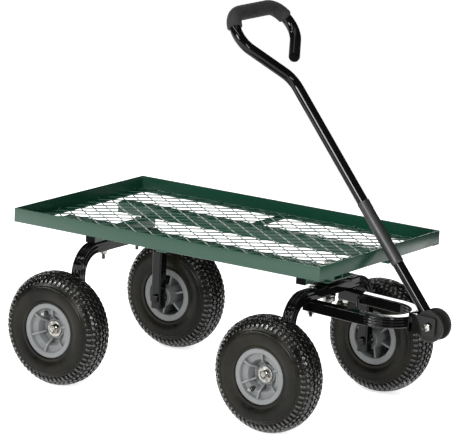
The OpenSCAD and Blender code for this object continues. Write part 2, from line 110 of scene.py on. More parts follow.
KINGPIN_X = joint_mm("steering").x
PIVOT = joint_mm("handle_tilt")
REAR_X = middle_mm("rear_axle").x
DECK_LOW, DECK_HIGH = corner_mm("side_rail_right")
DECK_MID_X = (DECK_LOW.x + DECK_HIGH.x) / 2
RAIL_Z = DECK_LOW.z
YOKE_Z = corner_mm("front_axle")[1].z - 1.5 * TUBE

STEM = (middle_mm("handle_sleeve") - PIVOT).normalized()
HANDLE = axes(PIVOT, STEM, Y, STEM.cross(Y))
DROP = radians(YOKE_DROP)
YOKE_AXIS = Vector((cos(DROP), 0, -sin(DROP)))
YOKE = axes(Vector((KINGPIN_X, 0, YOKE_Z)), YOKE_AXIS, Y, YOKE_AXIS.cross(Y))


def wheel_place(name, side):
    """A wheel's own frame: +Z outboard, zero in its middle plane."""
    centre = middle_mm("tyre_" + name)
    return axes(centre, X, Vector((0, 0, -side)), Vector((0, side, 0)))


# -------- shapes

def shifted(z):
    """The matrix that moves a shape along its own Z."""
    return Matrix.Translation((0, 0, z))


def put(name, data):
    """A new object in the scene."""
    made = bpy.data.objects.new(name, data)
    bpy.context.scene.collection.objects.link(made)
    return made


class Shape:
    """Points in millimetres and faces, gathered from several closed bodies."""

    def __init__(self, part=((), ()), place=Matrix.Identity(4)):
        self.points, self.faces = [], []
        self.add(part, place)

    def add(self, part, place=Matrix.Identity(4)):
        points, faces = part
        start = len(self.points)
        self.points += [place @ Vector(p) for p in points]
        self.faces += [[start + i for i in face] for face in faces]
        return self

    def piece(self, name, material, body, stands_for=None, slot=None, sharp=32):
        """Makes the Blender object, which rides on a body and may replace a CAD node."""
        mesh = bpy.data.meshes.new(name)
        mesh.from_pydata([p * MM for p in self.points], [], self.faces)
        bm = bmesh.new()
        bm.from_mesh(mesh)
        bmesh.ops.remove_doubles(bm, verts=bm.verts, dist=1e-6)
        bmesh.ops.dissolve_degenerate(bm, edges=bm.edges, dist=1e-7)
        bmesh.ops.recalc_face_normals(bm, faces=bm.faces)
        bm.to_mesh(mesh)
        bm.free()
        mesh.polygons.foreach_set("use_smooth", [True] * len(mesh.polygons))
        mesh.set_sharp_from_angle(angle=radians(sharp))
        mesh.materials.append(material)
        made = put(name, mesh)
        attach(made, body)
        if stands_for:
            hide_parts(stands_for)


def skin(rings, looped=False):
    """A surface through rings of points that each have the same count."""
    count = len(rings[0])
    points = [p for ring in rings for p in ring]
    faces = []
    for i in range(len(rings) if looped else len(rings) - 1):
        j = (i + 1) % len(rings)
        for k in range(count):
            m = (k + 1) % count
            faces.append([i * count + k, i * count + m, j * count + m, j * count + k])
    if not looped:
        faces.append(list(range(count))[::-1])
        faces.append([(len(rings) - 1) * count + k for k in range(count)])
    return points, faces


def polar(radius, degrees):
    """A point on a circle about the origin, as (x, y)."""
    angle = radians(degrees)
    return radius * cos(angle), radius * sin(angle)


def around(radius, degrees, z):
    """A point on a circle about Z."""
    return Vector((*polar(radius, degrees), z))


def lathe(profile, steps=96):
    """A closed outline of (radius, height) turned about Z."""
    turns = [360 * i / steps for i in range(steps)]
    return skin([[around(r, turn, z) for r, z in profile] for turn in turns], looped=True)


def rod(profile, steps=48):
    """An open outline of (radius, height), turned about Z and capped at both ends."""
    turns = [360 * i / steps for i in range(steps)]
    return skin([[around(r, turn, z) for turn in turns] for r, z in profile])


def bevelled(bm, edges, bevel, segments):
    """Rounds some edges of a bmesh, and returns its points and faces."""
    bmesh.ops.bevel(bm, geom=edges, offset=bevel, segments=segments, profile=0.5, affect="EDGES")
    bm.verts.index_update()
    points = [v.co.copy() for v in bm.verts]
    faces = [[v.index for v in f.verts] for f in bm.faces]
    bm.free()
    return points, faces


def soft_box(low, high, bevel=0.6, segments=2):
    """A box with rounded edges."""
    bm = bmesh.new()
    size = Vector(high) - Vector(low)
    middle = (Vector(high) + Vector(low)) / 2
    bmesh.ops.create_cube(bm, size=1, matrix=Matrix.Translation(middle) @ Matrix.Diagonal((*size, 1)))
    return bevelled(bm, bm.edges[:], bevel, segments)


def slab(outline, low, high, bevel, place):
    """A flat outline of (x, y) with height along Z and rounded edges."""
    bm = bmesh.new()
    base = [bm.verts.new(place @ Vector((x, y, low))) for x, y in outline]
    top = [bm.verts.new(place @ Vector((x, y, high))) for x, y in outline]
    bm.faces.new(base[::-1])
    bm.faces.new(top)
    for i in range(len(outline)):
        j = (i + 1) % len(outline)
        bm.faces.new([base[i], base[j], top[j], top[i]])
    sharp = [e for e in bm.edges if e.calc_face_angle(0) > radians(40)]
    return bevelled(bm, sharp, bevel, 2)


def rounded_outline(corners, radii, steps=4):
    """A closed outline through corners, each rounded with its own radius."""
    outline = []
    for i, corner in enumerate(corners):
        here = Vector(corner)
        back = (Vector(corners[i - 1]) - here).normalized()
        ahead = (Vector(corners[(i + 1) % len(corners)]) - here).normalized()
        half = back.angle(ahead) / 2
        reach = radii[i] / tan(half)
        middle = here + (back + ahead).normalized() * (radii[i] / sin(half))
        first, last = here + back * reach, here + ahead * reach
        for k in range(steps + 1):
            spoke = (first - middle).lerp(last - middle, k / steps)
            outline.append(tuple(middle + spoke.normalized() * radii[i]))
    return outline


def rectangle(low_x, low_y, high_x, high_y):
    """The corners of a rectangle, in order."""
    return [(low_x, low_y), (high_x, low_y), (high_x, high_y), (low_x, high_y)]


def middle_of(outline):
    """The mean of an outline's points."""
    return Vector((sum(p[0] for p in outline), sum(p[1] for p in outline))) / len(outline)


def hexagon_head(across, height, hole=0.0, steps=72):
    """A hexagon head or nut on z = 0, its corners turned down to a cone."""
    def circle(radius, z):
        return [around(radius, turn, z) for turn in turns]

    turns = [360 * i / steps for i in range(steps)]
    crown = across / 2 * 0.97
    low, top = [], []
    for turn in turns:
        radius = across / 2 / cos(radians((turn + 30) % 60 - 30))
        drop = (radius - crown) * 0.55
        low.append(around(radius, turn, drop if hole else 0))
        top.append(around(radius, turn, height - drop))
    rings = [low, top, circle(crown, height), circle(crown * 0.94, height + 0.15)]
    if not hole:
        return skin(rings)
    rings = [circle(crown, 0)] + rings + [circle(hole + 0.8, height), circle(hole, height - 0.8)]
    rings += [circle(hole, 0.8), circle(hole + 0.8, 0)]
    return skin(rings, looped=True)


def washer(outer, hole, low, high, edge=0.4):
    """A flat ring with rounded edges."""
    return lathe([
        (hole, low), (outer - edge, low), (outer, low + edge), (outer, high - edge),
        (outer - edge, high), (hole + edge, high), (hole, high - edge)
    ])


def thread(radius, length, pitch=1.25, depth=0.62, steps=32):
    """A screw thread up from z = 0: rows that climb one pitch a turn, with a chamfered tip."""
    core = radius - 1.1
    rows = int(length / pitch * 2) + 4
    points, faces = [], []
    for i in range(steps + 1):
        for k in range(rows):
            height = (k - 2 + 2 * i / steps) * pitch / 2
            crest = radius if k % 2 else radius - depth
            crest = max(min(crest, core + (length - height) * 0.9), core)
            points.append(around(crest, 360 * i / steps, min(max(height, 0), length)))
    for i in range(steps):
        for k in range(rows - 1):
            a = i * rows + k
            faces.append([a, a + 1, a + rows + 1, a + rows])
    faces.append([i * rows for i in range(steps)][::-1])
    faces.append([i * rows + rows - 1 for i in range(steps)])
    return points, faces


# -------- swept tubes

def route(start, heading, normal, steps, straight_step=40.0, bend_step=5.0):
    """Stations along a bent tube that lies in the plane across normal. A step is ("go", length)
    or ("turn", radius, degrees). A station is (point, outward, bent, distance)."""
    point, tangent, gone = Vector(start), Vector(heading).normalized(), 0.0
    stations = [(point.copy(), tangent.copy(), 0.0, 0.0)]
    for step in steps:
        if step[0] == "go":
            count = max(1, round(step[1] / straight_step))
            for i in range(count):
                point = point + tangent * (step[1] / count)
                gone += step[1] / count
                stations.append((point.copy(), tangent.copy(), 0.0, gone))
        else:
            radius, degrees = step[1], step[2]
            count = max(2, round(abs(degrees) / bend_step))
            turn = Matrix.Rotation(radians(degrees / count), 3, normal)
            sign = 1 if degrees > 0 else -1
            for i in range(count):
                centre = point + normal.cross(tangent) * radius * sign
                point = centre + turn @ (point - centre)
                tangent = turn @ tangent
                gone += radians(abs(degrees)) * radius / count
                share = (i + 1) / count
                stations.append((point.copy(), tangent.copy(), sin(pi * share), gone))
    return [(p, t.cross(normal), bent, s) for p, t, bent, s in stations]


def sweep(stations, normal, section):
    """A tube along stations. section(bent, distance) gives its outline as (outward, up)."""
    rings = []
    for point, outward, bent, distance in stations:
        rings.append([point + outward * u + normal * v for u, v in section(bent, distance)])
    return skin(rings)


def circle_section(radius, steps=40):
    """A round outline for sweep."""
    return [polar(radius, 360 * i / steps) for i in range(steps)]


def square_section(crimps, waves, per_face=24):
    """A square outline with round corners. crimps gives the depth of the lengthwise grooves in each
    face, in the order outward, up, inward, down."""
    half = TUBE / 2
    flat = half - TUBE_CORNER
    outline = []
    for face in range(4):
        turn = radians(90 * face)
        c, s = cos(turn), sin(turn)
        for i in range(per_face + 1):
            share = i / per_face
            v = flat * (2 * share - 1)
            u = half - crimps[face] * 0.5 * (1 - cos(2 * pi * waves * share))
            outline.append((u * c - v * s, u * s + v * c))
        for i in range(1, 4):
            angle = radians(22.5 * i)
            u, v = flat + TUBE_CORNER * cos(angle), flat + TUBE_CORNER * sin(angle)
            outline.append((u * c - v * s, u * s + v * c))
    return outline


def crimped(*depths, waves=3):
    """A square tube's section that is grooved where the tube is bent."""
    def section(bent, distance):
        return square_section([d * min(1.0, bent * 2) for d in depths], waves)
    return section


# -------- materials

def new_material(name):
    """A material with nodes: itself, its node tree and its shader."""
    made = bpy.data.materials.new(name)
    made.use_nodes = True
    tree = made.node_tree
    return made, tree, tree.nodes["Principled BSDF"]


def fill(made, **values):
    """Sets a node's inputs. Their names have _ for a space."""
    for name, value in values.items():
        made.inputs[name.replace("_", " ")].default_value = value


def node(tree, kind, linked, **values):
    """A node with some inputs linked and others set."""
    made = tree.nodes.new("ShaderNode" + kind)
    fill(made, **values)
    for name, source in linked.items():
        tree.links.new(source, made.inputs[name])
    return made


def noise(tree, scale, detail):
    """Noise in the piece's own coordinates, so many cycles a metre."""
    place = {"Vector": tree.nodes.new("ShaderNodeTexCoord").outputs["Object"]}
    return node(tree, "TexNoise", place, Scale=scale, Detail=detail).outputs["Fac"]


def ramp(tree, value, *stops):
    """Maps a value to colours at stops of (position, colour)."""
    made = tree.nodes.new("ShaderNodeValToRGB")
    slots = made.color_ramp.elements
    while len(slots) < len(stops):
        slots.new(0.5)
    for slot, (position, colour) in zip(slots, stops):
        slot.position = position
        slot.color = (*colour, 1)
    tree.links.new(value, made.inputs["Fac"])
    return made.outputs["Color"]


def bump(tree, shader, height, depth):
    """Small relief, depth in millimetres."""
    made = node(tree, "Bump", {"Height": height}, Strength=1.0, Distance=depth * MM)
    tree.links.new(made.outputs["Normal"], shader.inputs["Normal"])


def painted_edge_highlight(tree, base, highlight_colour, amount):
    """Mixes a paler colour in where the surface is sharply convex: a painted highlight along the
    edges.
    """
    pointed = {"Value": tree.nodes.new("ShaderNodeNewGeometry").outputs["Pointiness"]}
    edge = node(tree, "MapRange", pointed, From_Min=0.52, From_Max=0.62, To_Max=amount)
    mix = tree.nodes.new("ShaderNodeMix")
    mix.data_type = "RGBA"
    mix.inputs["B"].default_value = (*highlight_colour, 1)
    tree.links.new(edge.outputs["Result"], mix.inputs["Factor"])
    tree.links.new(base, mix.inputs["A"])
    return mix.outputs["Result"]


def grey(value):
    """A neutral colour."""
    return value, value, value


def mottled(tree, shader, scale, detail, dark, light):
    """A base colour that drifts between dark and light."""
    colour = ramp(tree, noise(tree, scale, detail), (0.35, dark), (0.65, light))
    tree.links.new(colour, shader.inputs["Base Color"])


def uneven(tree, shader, scale, detail, rough):
    """A roughness that drifts between two values, as the noise goes from 0.3 to 0.7."""
    value = node(tree, "MapRange", {"Value": noise(tree, scale, detail)}, From_Min=0.3,
                 From_Max=0.7, To_Min=rough[0], To_Max=rough[1])
    tree.links.new(value.outputs["Result"], shader.inputs["Roughness"])


def enamel(name, dark, light, edge, rough, specular, peel):
    """Sprayed enamel: slight colour drift, orange peel and paler edges that are painted highlights.
    """
    made, tree, shader = new_material(name)
    drift = ramp(tree, noise(tree, 9, 3), (0.3, dark), (0.7, light))
    tree.links.new(painted_edge_highlight(tree, drift, edge, 0.35), shader.inputs["Base Color"])
    uneven(tree, shader, 40, 4, rough)
    fill(shader, Specular_IOR_Level=specular)
    bump(tree, shader, noise(tree, 420, 2), peel)
    return made


def plated(name, dark, light, rough):
    """Zinc plate: pale metal with cloudy patches and fine scratches."""
    made, tree, shader = new_material(name)
    mottled(tree, shader, 120, 5, dark, light)
    fill(shader, Metallic=1.0)
    uneven(tree, shader, 260, 5, rough)
    bump(tree, shader, noise(tree, 1500, 3), 0.02)
    return made


def moulded(name, dark, light, rough, relief=0.03, grain=900, specular=0.5):
    """Moulded plastic or rubber with a fine grain."""
    made, tree, shader = new_material(name)
    mottled(tree, shader, 14, 4, dark, light)
    uneven(tree, shader, 60, 4, rough)
    fill(shader, Specular_IOR_Level=specular)
    bump(tree, shader, noise(tree, grain, 3), relief)
    return made


def foam(name, dark, light):
    """Closed-cell foam: matt, with pores."""
    made, tree, shader = new_material(name)
    mottled(tree, shader, 30, 5, dark, light)
    fill(shader, Roughness=0.82, Sheen_Weight=0.03, Specular_IOR_Level=0.25)
    place = {"Vector": tree.nodes.new("ShaderNodeTexCoord").outputs["Object"]}
    pores = node(tree, "TexVoronoi", place, Scale=700)
    bump(tree, shader, pores.outputs["Distance"], 0.25)
    return made


# The edge colours below are painted highlights, mixed in on sharply convex edges.
GREEN = enamel("green_enamel", dark=(0.0017, 0.0240, 0.0125), light=(0.0021, 0.0268, 0.0145),
               edge=(0.02, 0.08, 0.05), rough=(0.22, 0.24), specular=0.42, peel=0.004)
MESH_GREEN = enamel("mesh_green", dark=(0.0028, 0.026, 0.0145), light=(0.0033, 0.030, 0.017),
                    edge=(0.02, 0.06, 0.04), rough=(0.12, 0.20), specular=0.6, peel=0.01)
BLACK = enamel("black_enamel", dark=grey(0.0014), light=(0.0026, 0.0026, 0.0025),
               edge=grey(0.01), rough=(0.04, 0.07), specular=0.2, peel=0.02)
ZINC = plated("zinc_plate", dark=(0.11, 0.108, 0.10), light=(0.38, 0.37, 0.345),
              rough=(0.09, 0.24))
TYRE = moulded("tyre_sidewall", dark=(0.0012, 0.0011, 0.0005), light=(0.0064, 0.0059, 0.0032),
               rough=(0.22, 0.42), relief=0.16, grain=60, specular=0.14)
TREAD = moulded("tyre_tread", dark=(0.0022, 0.0021, 0.0018), light=(0.0050, 0.0048, 0.0040),
                rough=(0.10, 0.20), relief=0.45, grain=330, specular=0.6)
RIM = moulded("rim_plastic", dark=(0.090, 0.094, 0.095), light=(0.106, 0.110, 0.111),
              rough=(0.36, 0.48))
PLASTIC = moulded("black_plastic", dark=grey(0.0008), light=grey(0.0018),
                  rough=(0.30, 0.42), relief=0.05, specular=0.04)
RUBBER = moulded("black_rubber", dark=grey(0.010), light=grey(0.015),
                 rough=(0.38, 0.46), relief=0.05)
FOAM = foam("grip_foam", dark=(0.008, 0.008, 0.009), light=(0.015, 0.015, 0.016))
CASTING = moulded("disc_plastic", dark=(0.0065, 0.0065, 0.006), light=(0.011, 0.011, 0.010),
                  rough=(0.36, 0.48), relief=0.06, specular=0.25)


# -------- deck

def rail_section():
    """The angle section of a rail: a wall with its ledge turned in."""
    corners = [(0, 0), (RAIL_T + LEDGE_W, 0), (RAIL_T + LEDGE_W, RAIL_T), (RAIL_T, RAIL_T),
               (RAIL_T, RAIL_H), (0, RAIL_H)]
    return rounded_outline(corners, [2.6, 0.7, 0.7, 1.6, 0.8, 0.8])


def straight_prism(outline, start, along, length, across, up):
    """An outline of (across, up) pushed along a direction, its ends slightly rounded."""
    edge = 0.35
    centre = middle_of(outline)
    rings = []
    for distance, shrink in ((0, edge), (edge, 0), (length / 2, 0), (length - edge, 0),
                             (length, edge)):
        ring = []
        for u, v in outline:
            inward = (centre - Vector((u, v))).normalized() * shrink
            ring.append(start + along * distance + across * (u + inward.x) + up * (v + inward.y))
        rings.append(ring)
    return skin(rings)


def weld_bead(start, end, radius, lumps):
    """A weld bead: a low rope of overlapping ripples."""
    along = (end - start).normalized()
    side = along.orthogonal().normalized()
    other = along.cross(side)
    rings = []
    count = lumps * 6
    for i in range(count + 1):
        share = i / count
        fade = min(1.0, 8 * share, 8 * (1 - share))
        ripple = 0.86 + 0.14 * abs(sin(pi * lumps * share))
        swell = radius * (0.35 + 0.65 * fade ** 0.5) * ripple
        centre = start.lerp(end, share)
        round_it = [polar(swell, 36 * k) for k in range(10)]
        rings.append([centre + (side * u + other * v) for u, v in round_it])
    return skin(rings)


def tack_weld(centre, radius, flat=0.6):
    """A tack weld: a low lump."""
    rings = []
    for i in range(1, 8):
        x, z = polar(radius, -90 + 180 * i / 8)
        rings.append([centre + around(x, 30 * k, z * flat) for k in range(12)])
    return skin(rings)


def pressed_rail(start, along, length, inward, tacks, tack_size):
    """A rail, with tack welds on its inner face that hold the mesh."""
    shape = Shape(straight_prism(rail_section(), start, along, length, inward, Z))
    first = start + inward * (RAIL_T + 1.2) + Z * 6.6
    for share in tacks:
        shape.add(tack_weld(first + along * (length * share), tack_size))
    return shape


def build_rails():
    """The four rails, with their tack welds and the welds in the corners."""
    half_w, half_l = DECK_W / 2, DECK_L / 2
    inner = half_w - RAIL_T
    for name, side in SIDES:
        start = Vector((DECK_MID_X - half_l, side * half_w, RAIL_Z))
        tacks = (0.05, 0.28, 0.50, 0.73, 0.95)
        shape = pressed_rail(start, X, DECK_L, -Y * side, tacks, 3.2)
        shape.piece("side_rail_%s_pressed" % name, GREEN, "chassis", "side_rail_" + name)
    for name, end in (("front", 1), ("rear", -1)):
        start = Vector((DECK_MID_X + end * half_l, -inner, RAIL_Z))
        shape = pressed_rail(start, Y, 2 * inner, -X * end, (0.07, 0.33, 0.64, 0.93), 3.0)
        for side in (LEFT, RIGHT):
            foot = Vector((start.x - end * (RAIL_T + 0.4), side * (inner - 0.4), RAIL_Z + 5))
            shape.add(weld_bead(foot, foot + Z * (RAIL_H - 7), 1.7, 7))
        shape.piece("%s_rail_pressed" % name, GREEN, "chassis", "%s_rail" % name)


def strand_line(y_low, y_high, first_high):
    """The zigzag middle line of a strand, from the rear rail to the front one."""
    reach = DECK_L / 2 - RAIL_T - 0.5
    start, end = DECK_MID_X - reach, DECK_MID_X + reach
    overlap = STRAND_W * STRAND_OVERLAP
    corners = []
    count = int((end - start) / MESH_LONG * 2) + 4
    for i in range(-1, count):
        at = DECK_MID_X + (i - count // 2 + 1) * MESH_LONG / 2
        y = y_high - overlap if (i + first_high) % 2 else y_low + overlap
        corners += [(at - STRAND_KNUCKLE, y), (at + STRAND_KNUCKLE, y)]
    line = []
    for (x0, y0), (x1, y1) in zip(corners, corners[1:]):
        for share in (0.04, 0.5, 0.96):
            line.append((x0 + (x1 - x0) * share, y0 + (y1 - y0) * share))
    return [p for p in line if start < p[0] < end]


def strand(y_low, y_high, first_high):
    """One strand of the expanded metal, tilted as the slitting leaves it."""
    line = strand_line(y_low, y_high, first_high)
    rings = []
    tilt = radians(STRAND_TILT)
    z = RAIL_Z + RAIL_T + 1.25
    w, t = STRAND_W / 2, STRAND_T / 2
    section = rounded_outline(rectangle(-w, -t, w, t), [0.35] * 4, 2)
    for i, (x, y) in enumerate(line):
        before, after = line[max(i - 1, 0)], line[min(i + 1, len(line) - 1)]
        along = Vector((after[0] - before[0], after[1] - before[1], 0)).normalized()
        across = Z.cross(along)
        wide = across * cos(tilt) + Z * sin(tilt)
        thick = Z * cos(tilt) - across * sin(tilt)
        rings.append([Vector((x, y, z)) + wide * u + thick * v for u, v in section])
    return skin(rings)


def build_mesh():
    """The expanded-metal floor, strand by strand."""
    shape = Shape()
    inner = DECK_W / 2 - RAIL_T
    rows = round(2 * inner / (MESH_SHORT / 2))
    for row in range(rows):
        y = -inner + row * MESH_SHORT / 2
        shape.add(strand(y, y + MESH_SHORT / 2, row % 2))
    shape.piece("deck_mesh_strands", MESH_GREEN, "chassis", "deck_mesh")


def hollow_bar(low, high, along, corner):
    """An open rectangular tube that fills a box, along X or Y."""
    across = Y if along is X else X
    half, middle = (high - low) / 2, (high + low) / 2
    wide, tall, length = half.dot(across), half.z, 2 * half.dot(along)
    start = middle - along * length / 2
    edge = 0.3

    def ring(inset, distance, soften=0.0):
        w, h = wide - inset - soften, tall - inset - soften
        radius = max(corner - inset, 0.4)
        outline = rounded_outline(rectangle(-w, -h, w, h), [radius] * 4)
        return [start + along * distance + across * u + Z * v for u, v in outline]

    rings = [ring(0, 0, edge), ring(0, edge), ring(0, length - edge), ring(0, length, edge)]
    rings += [ring(TUBE_WALL, length), ring(TUBE_WALL, 0)]
    return skin(rings, looped=True)


def flat_strip(name, node, bevel, material, body):
    """A flat bar that fills a CAD node's box."""
    Shape(soft_box(*corner_mm(node), bevel)).piece(name, material, body, node)


def build_crossmember(name):
    """A square tube across the deck, welded to both beams."""
    low, high = corner_mm(name)
    shape = Shape(hollow_bar(low, high, Y, TUBE_CORNER))
    for beam in ("beam_left", "beam_right"):
        beam_low, beam_high = corner_mm(beam)
        for x in (low.x - 0.5, high.x + 0.5):
            start = Vector((x, beam_low.y + 4, high.z))
            end = Vector((x, beam_high.y - 4, high.z))
            shape.add(weld_bead(start, end, 1.9, 9))
    shape.piece(name + "_tube", GREEN, "chassis", name)


def build_underframe():
    """The beams, crossmembers, braces and steering plate below the deck, and the end caps."""
    crossmembers = ("front_crossmember", "rear_crossmember")
    for name in ("beam_left", "beam_right"):
        Shape(hollow_bar(*corner_mm(name), X, 3)).piece(name + "_tube", GREEN, "chassis", name)
    for name in crossmembers:
        build_crossmember(name)
    for name in ("mid_brace_left", "mid_brace_right"):
        flat_strip(name + "_strip", name, 0.7, GREEN, "chassis")
    flat_strip("upper_plate", "upper_steering_plate", 0.8, GREEN, "chassis")
    caps = Shape()
    for member in crossmembers:
        middle = middle_mm(member)
        half = TUBE / 2
        for side in (LEFT, RIGHT):
            face = side * corner_mm(member)[1].y
            low_y, high_y = sorted((face - side * 0.2, face + side * 2))
            caps.add(soft_box((middle.x - half, low_y, middle.z - half),
                              (middle.x + half, high_y, middle.z + half), 0.9, 3))
    caps.piece("crossmember_caps", PLASTIC, "chassis", "crossmember_plugs")


# -------- axles and yoke

def arch(name, node, x, body):
    """A square tube bent over two legs, grooved where it is bent."""
    foot = WHEEL_R - LEG_BELOW_HUB
    leg = corner_mm(node)[1].z - TUBE / 2 - ARCH_R - foot
    fade = 8
    bend = ("turn", ARCH_R, -90)
    steps = [("go", leg - fade), ("go", fade), bend, ("go", 2 * (LEG_Y - ARCH_R)), bend,
             ("go", fade), ("go", leg - fade)]
    stations = route((x, -LEG_Y, foot), Z, X, steps)
    shape = Shape(sweep(stations, X, crimped(2.8, 2.6, 3.0, 2.6, waves=2)))
    shape.piece(name, BLACK, body, node)


def build_axles():
    """Both arches, the front one's plate and the swivel ring above it."""
    arch("rear_arch", "rear_axle", REAR_X, "chassis")
    arch("front_arch", "front_axle", KINGPIN_X, "steering")
    flat_strip("lower_plate", "lower_steering_plate", 0.8, BLACK, "steering")
    low, high = corner_mm("swivel_ring")
    ring = washer(30, 8, low.z, high.z, 0.8)
    shape = Shape(ring, Matrix.Translation((KINGPIN_X, 0, 0)))
    shape.piece("swivel_bearing", PLASTIC, "chassis", "swivel_ring")


def build_yoke():
    """The steering yoke: a square tube bent into a U, with capped ends."""
    tail = TUBE / 2
    arm = ("go", YOKE_BEND_X + tail)
    steps = [arm, ("turn", YOKE_HALF, 180), arm]
    stations = route((-tail, -YOKE_HALF, 0), X, Z, steps, bend_step=4.0)
    shape = Shape(sweep(stations, Z, crimped(2.6, 0.0, 0.8, 0.0)), YOKE)
    shape.piece("yoke_tube", BLACK, "steering", "yoke")
    caps = Shape()
    for side in (LEFT, RIGHT):
        middle = side * YOKE_HALF
        cap = soft_box((-tail - 1.6, middle - 12, -12), (-tail + 0.3, middle + 12, 11), 0.7)
        caps.add(cap, YOKE)
    caps.piece("yoke_caps", PLASTIC, "steering", "yoke_plugs")


def build_clevis():
    """The bracket on the yoke's front, and the bolt that the handle turns on."""
    front = YOKE_BEND_X + YOKE_HALF + TUBE / 2
    back, tip = front - 5, PIVOT_REACH + 19
    outline = rounded_outline(rectangle(back, CLEVIS_LOW, tip, CLEVIS_HIGH), [1, 5, 5, 1])
    stand = Matrix.Rotation(radians(90), 4, "X")
    shape = Shape()
    for side in (LEFT, RIGHT):
        near = -CLEVIS_HALF if side > 0 else CLEVIS_HALF - CLEVIS_T
        shape.add(slab(outline, near, near + CLEVIS_T, 0.6, stand), YOKE)
        weld_x, weld_y = front - 3, -side * (CLEVIS_HALF - 2)
        start = Vector((weld_x, weld_y, CLEVIS_LOW + 2))
        end = Vector((weld_x, weld_y, CLEVIS_HIGH - 2))
        shape.add(weld_bead(start, end, 2.2, 9), YOKE)
    shape.add(soft_box((front - 4, -CLEVIS_HALF, CLEVIS_LOW),
                       (front + 5, CLEVIS_HALF, CLEVIS_HIGH), 0.6), YOKE)
    shape.piece("clevis_plates", BLACK, "steering", "clevis")

    right_side, left_side = axes(PIVOT, X, Z, -Y), axes(PIVOT, X, -Z, Y)
    bolt = Shape(hexagon_head(17, 6.5), right_side @ shifted(CLEVIS_HALF))
    bolt.add(rod([(5, -CLEVIS_HALF), (5, CLEVIS_HALF)]), right_side)
    bolt.add(thread(5, 11, 1.5), left_side @ shifted(CLEVIS_HALF))
    bolt.piece("clevis_hex_bolt", ZINC, "steering", "clevis_bolt")
    nut = Shape(hexagon_head(17, 8, hole=5), left_side @ shifted(CLEVIS_HALF))
    nut.piece("clevis_hex_nut", ZINC, "steering", "clevis_nut")


def build_yoke_pin():
    """The small cranked pin through the left arm, its tail hanging inside the yoke."""
    x, z = 43, 4
    inner, outer = YOKE_HALF - TUBE / 2, YOKE_HALF + TUBE / 2
    steps = [("go", 28), ("turn", 6, 90), ("go", 15)]
    stations = route((x, outer + 3, z), -Y, X, steps, straight_step=8, bend_step=15)
    wire = sweep(stations, X, lambda bent, distance: circle_section(3.4, 20))
    collar = rod([(4.6, 0), (5, 0.6), (5, 2.4), (4.4, 3)], 24)
    inside = axes(Vector((x, inner - 3, z)), X, Z, -Y) @ shifted(-3)
    shape = Shape(wire, YOKE).add(collar, YOKE @ inside)
    shape.piece("yoke_crank_pin", BLACK, "steering", "yoke_pin")


# -------- fasteners

def hanging_bolts(name, node, x, y, tail, body):
    """An axle's two bolts, heads up, with a length of thread, tail, showing below."""
    radius, head = 4, 5.5
    shape = Shape()
    low, high = corner_mm(node)
    for side in (RIGHT, LEFT):
        place = Matrix.Translation((x, side * y, 0))
        shape.add(hexagon_head(13, head), place @ shifted(high.z - head))
        shape.add(rod([(radius, low.z + tail), (radius, high.z - 5)], 32), place)
        shape.add(thread(radius, tail), place @ shifted(low.z + tail) @ TURNED_OVER)
    shape.piece(name, ZINC, body, node)


def axle_nuts(name, node, x, y, washers, body):
    """The nuts of an axle's two bolts, with or without washers above them."""
    shape = Shape()
    for side in (RIGHT, LEFT):
        place = Matrix.Translation((x, side * y, corner_mm(node)[0].z))
        shape.add(hexagon_head(13, 7, hole=4), place)
        if washers:
            shape.add(washer(9, 4, 7, 9), place)
    shape.piece(name, ZINC, body, node)


def build_kingpin():
    """The large bolt that the front axle steers on, and its nut."""
    radius, head, tail = 8, 9, 22
    place = Matrix.Translation((KINGPIN_X, 0, 0))
    low, high = corner_mm("kingpin")
    shape = Shape(hexagon_head(24, head), place @ shifted(high.z - head))
    shape.add(rod([(radius, low.z + tail), (radius, high.z - head)]), place)
    shape.add(thread(radius, tail, 2, 1.0), place @ shifted(low.z + tail) @ TURNED_OVER)
    shape.piece("kingpin_bolt", ZINC, "chassis", "kingpin")
    low, high = corner_mm("kingpin_nut")
    shape = Shape(hexagon_head(24, 13, hole=radius), place @ shifted(low.z))
    shape.add(washer(15, radius, high.z - 3, high.z), place)
    shape.piece("kingpin_hex_nut", ZINC, "chassis", "kingpin_nut")


def build_fasteners():
    """The bolts and nuts of the axles and the kingpin."""
    hanging_bolts("rear_axle_hex_bolts", "rear_axle_bolts", REAR_X, AXLE_BOLT_Y, 24, "chassis")
    hanging_bolts("yoke_hex_bolts", "yoke_bolts", KINGPIN_X, YOKE_HALF, 16, "steering")
    axle_nuts("rear_axle_hex_nuts", "rear_axle_nuts", REAR_X, AXLE_BOLT_Y, True, "chassis")
    axle_nuts("yoke_hex_nuts", "yoke_nuts", KINGPIN_X, YOKE_HALF, False, "steering")
    build_kingpin()


